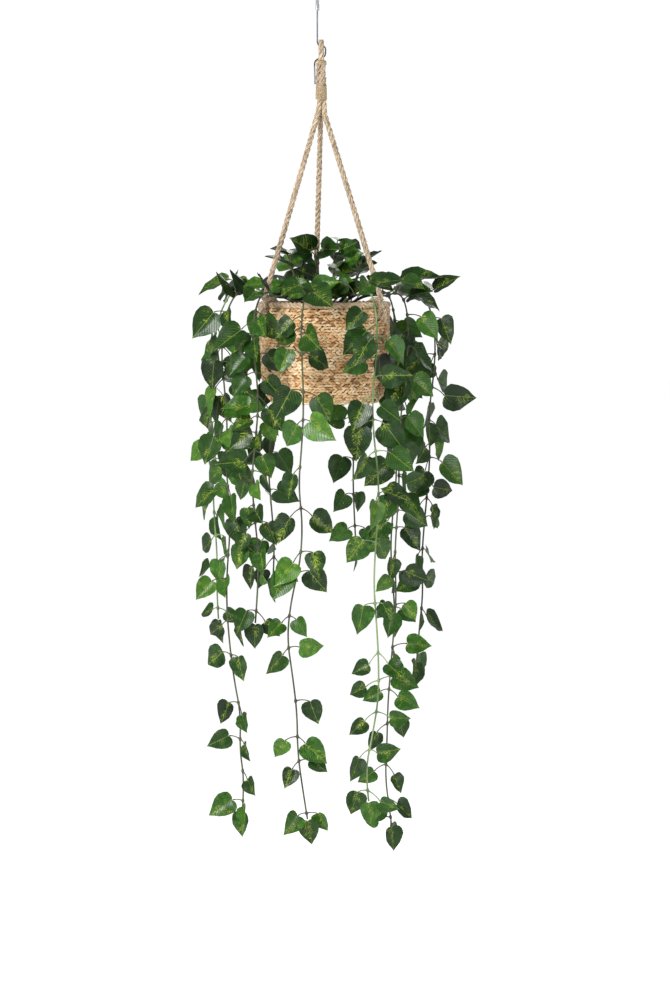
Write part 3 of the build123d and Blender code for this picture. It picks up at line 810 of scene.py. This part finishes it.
def lay_row(layout, radius, height, slope, lean, inside, chance):
    """One turn of twisted cord round the wall."""
    count = round(2 * pi * radius / TWIST_SPACING)
    start = chance.uniform(0, 360)
    row_tone = chance.uniform(-0.06, 0.06)
    for number in range(count):
        azimuth = start + 360 * number / count + chance.uniform(-0.7, 0.7)
        place = polar(azimuth, radius, 0, height + chance.uniform(-0.0004, 0.0004))
        if any((place - hole).length < ROPE_HOLE_CLEAR for hole in holes):
            continue
        a = radians(azimuth)
        out = Vector((sin(a) * cos(slope), -cos(a) * cos(slope), sin(slope))) * (-1 if inside else 1)
        round_way = Vector((cos(a), sin(a), 0))
        up = round_way.cross(out)
        slant = lean * TWIST_SLANT + chance.uniform(-0.2, 0.2)
        tone = min(1.0, max(0.0, chance.triangular(0.0, 1.0, 0.66) + row_tone))
        layout.add(place, round_way * cos(slant) + up * sin(slant), out, chance.uniform(0.9, 1.12),
                   chance.randrange(3), tone)


def basket_wall():
    chance = Random(61)
    layout = Layout()
    length = sum((Vector(b) - Vector(a)).length for a, b in zip(WALL_PROFILE, WALL_PROFILE[1:]))
    rows = int(length / ROW_RISE)
    for row in range(rows):
        radius, height = wall_at((row + 0.5) / rows)
        slope = -CORNER_SLOPE if height < -CORNER_DROP else -WALL_SLOPE
        lean = 1 if row % 2 else -1
        lay_row(layout, radius - TWIST_W * 0.42, height, slope, lean, False, chance)
        if height > -INSIDE_ROWS_DROP:
            lay_row(layout, radius - WALL_T + TWIST_W * 0.42, height, 0.0, lean, True, chance)
    return layout.make("woven_wall", twist_shelf, straw, TWIST_LENGTH)


def basket_bottom():
    """The coiled bottom, wound outwards from the middle and seen from underneath."""
    chance = Random(62)
    layout = Layout()
    drop = -0.1345
    reach, azimuth = 0.004, 0.0
    while reach < WALL_PROFILE[-1][0]:
        a = radians(azimuth)
        round_way = Vector((cos(a), sin(a), 0))
        slanted = round_way * cos(TWIST_SLANT) + Vector((sin(a), -cos(a), 0)) * sin(TWIST_SLANT)
        layout.add(polar(azimuth, reach, 0, drop), slanted, Vector((0, 0, -1)), chance.uniform(0.9, 1.1),
                   chance.randrange(3), chance.triangular(0.0, 1.0, 0.6))
        step = TWIST_SPACING / reach
        azimuth += step * 180 / pi
        reach += ROW_RISE * step / (2 * pi)
    return layout.make("coiled_bottom", twist_shelf, straw, TWIST_LENGTH)


def turned(name, profile, material, wave=0.0, chance=None):
    """A closed form of revolution round the basket's axis through (radius, height), puckered by a wave."""
    count = 96
    pucker = [chance.uniform(-wave, wave) for i in range(count)] if chance else [0.0] * count
    rings = []
    for radius, height in profile:
        share = (height - profile[0][1]) / (max(h for r, h in profile) - profile[0][1] + 1e-9)
        rings.append([polar(360 * i / count, radius + pucker[i] * share, 0, height) for i in range(count)])
    return solid(name, *skinned(rings, closed_ends=False), material)


def wall_core():
    """The body of the wall behind the twists, painted dark as the shadow in the gaps between them."""
    outside = [(r - TWIST_W * 0.55, z) for r, z in WALL_PROFILE]
    inside = [(r - WALL_T + TWIST_W * 0.5, z + 0.001) for r, z in reversed(WALL_PROFILE[:-1])]
    ring = outside + [(0.070, -0.1358), (0.070, -0.130)] + inside
    return turned("wall_core", ring + ring[:1], shadow_painted_straw)


# The coiled bottom's body behind its twists, painted dark as their shadow.
def bottom_core():
    return turned("bottom_core", [(0.0003, -0.1342), (0.0725, -0.1342), (0.0725, -0.1293), (0.0003, -0.1293)],
                  shadow_painted_straw)


holes = [polar(azimuth, WALL_PROFILE[0][0], 0, -ROPE_HOLE_DROP) for azimuth, _ in ROPES.values()]
straw = seagrass("seagrass_twist")
# a dark copy of the straw, painted shadow for the body behind the twists
shadow_painted_straw = seagrass("seagrass_shadow", 0.34)
scatter = scatter_pattern()
twist_shelf = shelf("twist_shelf", twists())
wall = joined("woven_basket_wall", [basket_wall(), wall_core()])
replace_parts(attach(wall, "hanger"), "basket_wall")
bottom = joined("coiled_basket_bottom", [basket_bottom(), bottom_core()])
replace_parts(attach(bottom, "hanger"), "basket_base")
rim_ring = ring_line(Vector((AXIS_X, 0, RIM_Z)), Vector((1, 0, 0)), Vector((0, 1, 0)), RIM_R, 180)
seagrass_cord = jute("seagrass_cord", paint("a3754b"), paint("f3dcb8"))
fuzz_pieces = []
rim = rope("laid_basket_rim", [rim_ring], closed=True, strand_r=0.0022, lay_r=0.0026, turn=0.021,
           hairs=6000.0, hair_length=0.005, material=seagrass_cord, seed=63)
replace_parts(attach(rim, "hanger"), "basket_rim")
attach(joined("rim_wisps", fuzz_pieces), "hanger")


# ---- Liner ----
# A thin brown plastic film stands inside the basket and keeps the wall dry. It is creased where it was
# pushed down into the round.
def liner_film():
    p = Finish("liner_film", roughness=0.28)
    crease = p.noise(p.place(), 90.0, 4.0, 1.0)
    # the film is painted darker in the hollows of its creases: painted shade
    p.set("Base Color", p.mix(crease, paint("2c2118"), paint("57432f")))
    p.bump(crease, 0.001)
    return p.material


low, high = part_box("basket_liner")
liner_top, liner_foot = high.z - RIM_Z, low.z - RIM_Z
liner_middle = (liner_top + liner_foot) / 2
liner = turned("liner_bag", [
    (0.0005, liner_foot), (0.0695, liner_foot), (0.0765, liner_middle), (0.0825, liner_top),
    (0.0818, liner_top), (0.0755, liner_middle), (0.0688, liner_foot + 0.001), (0.0005, liner_foot + 0.001)],
    liner_film(), wave=0.0009, chance=Random(64))
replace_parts(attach(liner, "hanger"), "basket_liner")


# ---- Foam block and stalk ----
# The plant's weight is a block of dry green floral foam in the bottom of the basket. All the stems are
# moulded into one short stalk, which is pushed into the foam.
def dry_foam():
    p = Finish("dry_foam", roughness=0.95)
    cells = p.node("ShaderNodeTexVoronoi", None, {"Vector": p.place(), "Scale": 700.0}, give="Distance")
    patch = p.noise(p.place(), 50.0)
    # the foam's cells are real, but their pits are painted darker: painted shade in the pores
    p.set("Base Color", p.multiply(p.mix(patch, paint("3d5134"), paint("59704a")), p.ramp(cells, [
        (0.0, 0.45), (0.5, 1.0)])))
    p.bump(cells, 0.0008)
    return p.material


finish_node("foam_block", dry_foam())


# ---- Stems ----
# Ten vines and six short sprigs of plastic-coated wire leave the stalk. A vine runs over the rim and then
# hangs to its tip, kinked a little at each swelling where the leaf stalks were pushed on.
STEM_D = 0.0024
VINES = {
    # azimuth, length, and the route outwards, sideways and up from the rim, in millimetres
    "front_long": (-13, 752, [
        (92, 0, 14), (112, 0, 20), (131, 1, 4), (141, 0, -38), (139, 2, -88), (137, 3, -138),
        (140, 1, -190), (143, -3, -243), (139, 2, -297), (137, -2, -350), (141, -14, -401),
        (140, -20, -453), (136, -13, -505), (139, -6, -556), (141, -5, -608), (138, 1, -658),
        (137, 8, -702)]),
    "left_front": (-46, 483, [
        (92, 0, 12), (110, 0, 22), (127, -1, 7), (135, -2, -33), (132, 1, -82), (128, 3, -132),
        (131, 0, -183), (135, -4, -235), (131, -3, -287), (127, 1, -338), (131, 4, -389), (134, 2, -436)]),
    "left_long": (-78, 766, [
        (92, 0, 12), (112, 1, 24), (131, 2, 11), (143, 1, -25), (146, -2, -70), (141, -3, -118),
        (138, 1, -167), (141, 4, -216), (137, 3, -267), (134, -2, -318), (138, -5, -369), (139, -3, -420),
        (136, 2, -471), (130, 4, -522), (120, 2, -572), (121, -2, -622), (114, -3, -668), (118, 0, -709)]),
    "left_outer": (-112, 524, [
        (92, 0, 16), (114, -1, 30), (139, -2, 22), (159, 0, -10), (168, 2, -53), (170, 1, -102),
        (166, -3, -152), (168, -4, -202), (171, 0, -253), (167, 4, -304), (163, 3, -354), (166, -1, -403),
        (164, -3, -447)]),
    "back_left": (-145, 436, [
        (92, 0, 14), (111, 1, 20), (128, 2, 2), (136, 0, -40), (134, -3, -90), (130, -2, -141),
        (133, 2, -193), (136, 3, -245), (132, 0, -297), (129, -3, -347), (132, -2, -393)]),
    "back": (161, 388, [
        (92, 0, 13), (111, 1, 18), (127, 2, -2), (133, -1, -46), (131, -4, -97), (128, -3, -149),
        (131, 1, -201), (133, 3, -253), (130, 0, -304), (132, -2, -349)]),
    "back_right": (133, 488, [
        (92, 0, 14), (111, -1, 22), (129, -2, 5), (138, 0, -36), (136, 3, -87), (132, 2, -139),
        (135, -2, -191), (138, -3, -243), (134, 1, -295), (131, 3, -347), (134, 1, -397), (136, -1, -441)]),
    "right_outer": (102, 583, [
        (92, 0, 16), (113, 1, 32), (137, 2, 24), (154, 0, -10), (159, -3, -55), (156, -2, -104),
        (150, 2, -154), (153, 4, -205), (149, 1, -256), (143, -3, -307), (139, -4, -358), (142, 0, -409),
        (137, 3, -460), (133, 1, -507)]),
    "right_long": (70, 768, [
        (92, 0, 13), (109, -1, 20), (122, -2, 0), (124, 0, -43), (119, 3, -93), (113, 2, -145),
        (110, -2, -197), (112, -4, -249), (107, 0, -300), (103, 3, -352), (106, 2, -404), (103, -1, -456),
        (99, -3, -508), (94, 0, -560), (92, 3, -611), (90, 1, -661), (98, -2, -706), (100, 0, -728)]),
    "right_front": (31, 736, [
        (92, 0, 15), (112, 0, 26), (130, 1, 11), (138, 2, -30), (136, 0, -79), (132, -3, -129),
        (135, -2, -180), (139, 3, -231), (136, 5, -283), (132, 2, -334), (135, -2, -386), (138, 1, -437),
        (135, 6, -489), (133, 7, -540), (136, -5, -590), (134, -15, -638), (132, -8, -680)]),
}
SPRIGS = [
    (-22, [(0.005, -0.016), (0.012, 0.01), (0.022, 0.038), (0.024, 0.066)]),
    (24, [(0.005, -0.016), (0.018, 0.008), (0.033, 0.034), (0.038, 0.066)]),
    (-95, [(0.005, -0.016), (0.019, 0.006), (0.036, 0.026), (0.046, 0.05)]),
    (92, [(0.005, -0.016), (0.02, 0.005), (0.04, 0.024), (0.05, 0.048)]),
    (150, [(0.005, -0.016), (0.014, 0.01), (0.025, 0.038), (0.028, 0.07)]),
    (-140, [(0.005, -0.016), (0.018, 0.005), (0.037, 0.026), (0.046, 0.054)]),
]
CREST_CLEAR = 0.0027


def stem_plastic(name, dark, light):
    """Thin plastic over wire, dull olive to brown, with moulding streaks."""
    p = Finish(name, roughness=0.5)
    along = p.node("ShaderNodeMapping", None, {"Vector": p.place(), "Scale": (1.0, 1.0, 0.25)})
    patch = p.noise(p.place(), 22.0, 3.0)
    streak = p.noise(along, 1500.0, 3.0)
    colour = p.mix(p.spot(patch, 0.38, 0.62), dark, light)
    p.set("Base Color", p.multiply(colour, p.ramp(streak, [(0.3, 0.75), (0.7, 1.0)])))
    p.set("Roughness", 0.4 + streak * 0.25)
    p.bump(streak, 0.0002)
    return p.material


def vine_route(azimuth, route):
    """Places along a vine; the first stands just clear of the moulded ball on its crest."""
    points = [polar(azimuth, *(size / 1000 for size in point)) for point in route]
    return [points[0] + (points[1] - points[0]).normalized() * CREST_CLEAR] + points[1:]


def runner_route(azimuth, crest):
    """From the stalk to the crest where the vine passes over the rim."""
    outwards, sideways, height = (size / 1000 for size in crest)
    return [polar(azimuth, 0.0065, 0, -0.021), polar(azimuth, 0.032, 0.002, -0.001),
            polar(azimuth, 0.064, -0.001, height + 0.001), polar(azimuth, outwards, sideways, height)]


olive = stem_plastic("olive_stem", paint("37372a"), paint("55603c"))
fresh = stem_plastic("fresh_stem", paint("5b7842"), paint("90aa70"))
FRESH_VINES = ("right_front", "left_outer")
for node in ("stalk", "runner_stems", "sprig_stems"):
    finish_node(node, olive)
stem_lines = {}
for name, (azimuth, length, route) in VINES.items():
    points = vine_route(azimuth, route)
    stem_lines[name] = places_on(route_line("stem_line", points))
    stem = route_line(f"{name}_stem", points, STEM_D / 2)
    stem.data.materials.append(fresh if name in FRESH_VINES else olive)
    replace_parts(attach(stem, f"vine_{name}"), f"vine_{name}_stem")


# ---- Leaf stalks ----
# A swelling is moulded round the stem at each joint, and one or two thin stalks spring from it, thick where
# they leave it, bowed upwards, and thickened again under the leaf.
STALK_BOW = 0.16
SWELLING = [(-0.0032, 1.3), (-0.0016, 1.95), (0.0, 2.25), (0.0016, 1.95), (0.0032, 1.3)]
STALK_SIZES = [1.35, 0.95, 0.75, 0.72, 0.78, 1.0]
STALK_R = 0.001
NEAR_LEAF = 0.0012
LOBE_REACH = 0.09


def stalk_pattern():
    """Round bars along the lines of a mesh of edges, as thick as each place says."""
    p = Pattern("round_stalks", {"Radius": float, "Material": bpy.types.Material})
    line = p.node("GeometryNodeMeshToCurve", None, {0: p.given("Geometry")})
    thick = p.node("GeometryNodeInputNamedAttribute", {"data_type": "FLOAT"}, {"Name": "thick"})
    ring = p.node("GeometryNodeCurvePrimitiveCircle", None, {"Resolution": 7, "Radius": p.given("Radius")})
    p.end(p.node("GeometryNodeCurveToMesh", None, {0: line, 1: ring, "Scale": thick, "Fill Caps": True}))
    return p


def loose_parts(node):
    """The separate solids of a CAD piece, each as an array of its corners."""
    form = bmesh.new()
    form.from_mesh(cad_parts[node].data)
    bmesh.ops.remove_doubles(form, verts=form.verts, dist=1e-6)
    left, parts = dict.fromkeys(form.verts), []
    while left:
        waiting, part = [left.popitem()[0]], []
        while waiting:
            corner = waiting.pop()
            part.append(tuple(corner.co))
            for edge in corner.link_edges:
                other = edge.other_vert(corner)
                if other in left:
                    del left[other]
                    waiting.append(other)
        parts.append(np.array(part))
    form.free()
    return parts


class Blade:
    """Where one leaf of the CAD model lies: its base, the way its tip points and the way it faces."""

    def __init__(self, corners, facing):
        middle = corners.mean(0)
        off = corners - middle
        shares, ways = np.linalg.eigh(off.T @ off)
        normal = Vector(ways[:, 0])
        self.normal = normal if normal.dot(facing) > 0 else -normal
        tip = off[np.argmax((off ** 2).sum(1))]
        along = Vector(tip) - normal * normal.dot(Vector(tip))
        self.along = along.normalized()
        spans = off @ np.array(self.along)
        self.length = (spans.max() - spans.min()) / (1 + LOBE_REACH)
        self.base = Vector(middle) + self.along * (spans.max() - self.length)


def nearest(places, point):
    return min(range(len(places)), key=lambda i: (places[i] - point).length_squared)


def fork_lines(part, blades, stems):
    """Lines of one joint: its swelling on the stem, then a bowed stalk to each of its leaves."""
    own = [blade for blade in blades if np.linalg.norm(part - np.array(blade.base), axis=1).min() < NEAR_LEAF]
    spread = np.array([min((Vector(corner) - place).length for place in stems) for corner in part])
    core = Vector(part[spread < spread.min() + 0.0022].mean(0))
    at = nearest(stems, core)
    middle = stems[at]
    before, after = stems[max(0, at - 1)], stems[min(len(stems) - 1, at + 1)]
    way = (after - before).normalized()
    lines = [[(*(middle + way * along), thick) for along, thick in SWELLING]]
    for blade in own:
        run = blade.base - middle
        bow = Vector((0, 0, 1)) - run * (run.z / run.length_squared)
        bow = bow * (STALK_BOW * run.length)
        line = []
        for number, thick in enumerate(STALK_SIZES):
            share = number / (len(STALK_SIZES) - 1)
            line.append((*(middle + run * share + bow * (4 * share * (1 - share)) * 0.6), thick))
        lines.append(line)
    return lines


def blades_of(node, azimuth, crown=False):
    """The leaves of a CAD piece, facing outwards and forwards."""
    found = []
    for part in loose_parts(node):
        a = radians(azimuth * 0.55 if abs(azimuth) < 120 else azimuth)
        facing = Vector((sin(a), -cos(a), 0.3))
        if crown:
            middle = Vector(part.mean(0))
            out = Vector((middle.x - AXIS_X, middle.y, 0)).normalized()
            facing = out * 0.55 + Vector((0, -0.6, 0.65))
        found.append(Blade(part, facing))
    return found


stalks = stalk_pattern()
blades, runners = {}, []
for name, (azimuth, length, route) in VINES.items():
    blades[name] = blades_of(f"vine_{name}_leaves", azimuth)
    lines = []
    for part in loose_parts(f"vine_{name}_forks"):
        lines += fork_lines(part, blades[name], stem_lines[name])
    plastic = fresh if name in FRESH_VINES else olive
    forks = stalks.grow(threads(f"{name}_stalks", lines), {"Radius": STALK_R, "Material": plastic})
    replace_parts(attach(forks, f"vine_{name}"), f"vine_{name}_forks")
    runners.append(runner_route(azimuth, route[0]))
blades["crown"] = blades_of("crown_leaves", 0, crown=True)
sprigs = [[polar(azimuth, outwards, 0, height) for outwards, height in route] for azimuth, route in SPRIGS]
crown_stems = []
for points in runners + sprigs:
    crown_stems += places_on(route_line("crown_line", points))
lines = []
for part in loose_parts("crown_forks"):
    lines += fork_lines(part, blades["crown"], crown_stems)
forks = stalks.grow(threads("crown_stalks", lines), {"Radius": STALK_R, "Material": olive})
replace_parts(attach(forks, "plant"), "crown_forks")


# ---- Leaves ----
# Each leaf is a heart stamped from printed polyester cloth with a hot-pressed midrib and side veins, glossy
# dark green above with lime brush strokes beside the ribs, and paler and duller underneath.
LEAF_ROWS = [
    # along the midrib, along the edge, half width at the edge, all as shares of the leaf's length
    (0.02, 0.02, 0.0), (0.025, -0.03, 0.08), (0.04, -0.045, 0.20), (0.08, 0.0, 0.325), (0.17, 0.12, 0.405),
    (0.32, 0.30, 0.42), (0.50, 0.50, 0.36), (0.68, 0.69, 0.24), (0.84, 0.85, 0.10), (0.93, 0.94, 0.033),
    (1.0, 1.0, 0.0)]
LEAF_CELLS = (1.0, 0.5, 0.0, -0.5, -1.0)
LEAF_CLOTH_T = 0.010
UNDER_UV = 2.0
LEAF_KINDS = 7


def leaf_rise(u, v, droop, fold, wave, twist, phase):
    """How far a place on the leaf stands off its flat plane."""
    rise = -droop * u * u + fold * abs(v) + wave * abs(v) * sin(11 * u + phase) + twist * u * v
    return rise - 0.02 * max(0.0, 1 - abs(v) / 0.03)


def leaf_shape(number, chance):
    """A folded, drooping heart, closed between its upper and under sides."""
    shape = (chance.uniform(0.02, 0.16), chance.uniform(0.10, 0.42), chance.uniform(0.05, 0.16),
             chance.uniform(-0.22, 0.22), chance.uniform(0, 6.28))
    corners, faces, spots = [], [], []
    width = len(LEAF_CELLS)
    for side in (0, 1):
        for rib_u, edge_u, half in LEAF_ROWS:
            for share in LEAF_CELLS:
                u = rib_u + (edge_u - rib_u) * abs(share) ** 1.5
                v = half * share
                under = side * LEAF_CLOTH_T * (1 - abs(share)) * (half > 0)
                corners.append((u, v, leaf_rise(u, v, *shape) - under))
                spots.append((u, v + 0.5 + side * UNDER_UV))
        for row in range(len(LEAF_ROWS) - 1):
            for cell in range(width - 1):
                a = side * len(LEAF_ROWS) * width + row * width + cell
                face = (a, a + 1, a + 1 + width, a + width)
                faces.append(face if side else face[::-1])
    mesh = bpy.data.meshes.new(f"leaf_{number}")
    mesh.from_pydata(corners, [], faces)
    layer = mesh.uv_layers.new(name="leaf_map")
    for loop in mesh.loops:
        layer.data[loop.index].uv = spots[loop.vertex_index]
    form = bmesh.new()
    form.from_mesh(mesh)
    bmesh.ops.remove_doubles(form, verts=form.verts, dist=1e-5)
    uv = form.loops.layers.uv.active
    for edge in form.edges:
        sides = {loop[uv].uv.y > 1.2 for face in edge.link_faces for loop in face.loops}
        edge.smooth = len(sides) == 1
    bmesh.ops.recalc_face_normals(form, faces=form.faces)
    form.to_mesh(mesh)
    form.free()
    return put(f"leaf_{number}", mesh)


def leaf_cloth():
    """Printed cloth: green ground, lime strokes along the ribs, fine weave, pale dull underside."""
    p = Finish("leaf_cloth", roughness=0.36, coat_weight=0.12, coat_roughness=0.25)
    p.set("Specular IOR Level", 0.32)
    tone = p.attribute("tone")
    uv = p.node("ShaderNodeUVMap", {"uv_map": "leaf_map"})
    parts = p.tree.nodes.new("ShaderNodeSeparateXYZ")
    p.feed(parts.inputs[0], uv)
    u, height = Level(p, parts.outputs[0]), Level(p, parts.outputs[1])
    under = height.maths("GREATER_THAN", height, 1.2)
    v = height - 0.5 - under * UNDER_UV
    wide = abs(v)
    own = p.xyz(u, v, tone * 37.0)
    drift, patchy = p.noise(own, 5.0, 3.0), p.noise(own, 2.3, 1.0)
    rib = 1.0 - p.spot(wide, 0.004, 0.013)
    swept = u - wide * 0.95 - wide * wide * 0.6 + (drift - 0.5) * 0.06
    comb = abs((swept * 9.0).fraction() - 0.5) * 2.0
    vein = p.spot(comb, 0.86, 0.98) * (1.0 - p.spot(wide, 0.20, 0.34)) * p.spot(patchy, 0.38, 0.6)
    brush = p.noise(p.xyz(swept * 10.0, v * 2.8, tone * 91.0), 1.5, 2.5, 0.6)
    amount = (tone * 17.3).fraction()
    where = (1.0 - p.spot(wide, 0.0, 0.26)) * (1.0 - p.spot(u, 0.55, 0.95) * 0.5)
    likely = where * 0.14 + (patchy - 0.5) * 0.55 + amount * 0.12
    scratch = (1.0 - p.spot(abs(brush - 0.5), 0.007, 0.024)) * p.spot(likely, 0.14, 0.20)
    stroke = scratch.maths("MAXIMUM", scratch, p.spot(brush + likely, 0.88, 0.93))
    ground = p.ramp((tone * 0.75 + drift * 0.45 - 0.1).bounded(), [
        (0.0, paint("081a04")), (0.3, paint("112e07")), (0.6, paint("254d0d")), (0.84, paint("3b6c1a")),
        (1.0, paint("5f7f2b"))])
    lime = p.mix(brush, paint("6d9a2e"), paint("c9d651"))
    upper = p.mix((stroke * 0.92).bounded(), ground, lime)
    upper = p.mix(vein * 0.5, upper, paint("86ab3f"))
    upper = p.mix(rib * 0.55, upper, paint("9dbb4f"))
    lower = p.mix(rib * 0.4, p.multiply(ground, (1.5, 1.45, 1.5, 1.0)), paint("8aa85a"))
    p.set("Base Color", p.mix(under, upper, lower))
    weave = p.noise(own, 210.0, 2.0)
    p.set("Roughness", 0.2 + drift * 0.14 + under * 0.25 + weave * 0.06)
    ridge = rib * 0.9 + p.spot(comb, 0.7, 1.0) * 0.7 + weave * 0.12
    p.bump(ridge, 0.0006, 0.8)
    return p.material


leaf_green = leaf_cloth()
leaf_shelf = shelf("leaf_shelf", [leaf_shape(number, Random(70 + number)) for number in range(LEAF_KINDS)])
for number, (name, found) in enumerate(blades.items()):
    chance = Random(80 + number)
    layout = Layout()
    for blade in found:
        tone = min(1.0, max(0.0, chance.gauss(0.5, 0.24)))
        layout.add(blade.base, blade.along, blade.normal, blade.length, chance.randrange(LEAF_KINDS), tone)
    leaves = layout.make(f"{name}_foliage", leaf_shelf, leaf_green)
    crown = name == "crown"
    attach(leaves, "plant" if crown else f"vine_{name}")
    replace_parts(leaves, "crown_leaves" if crown else f"vine_{name}_leaves")
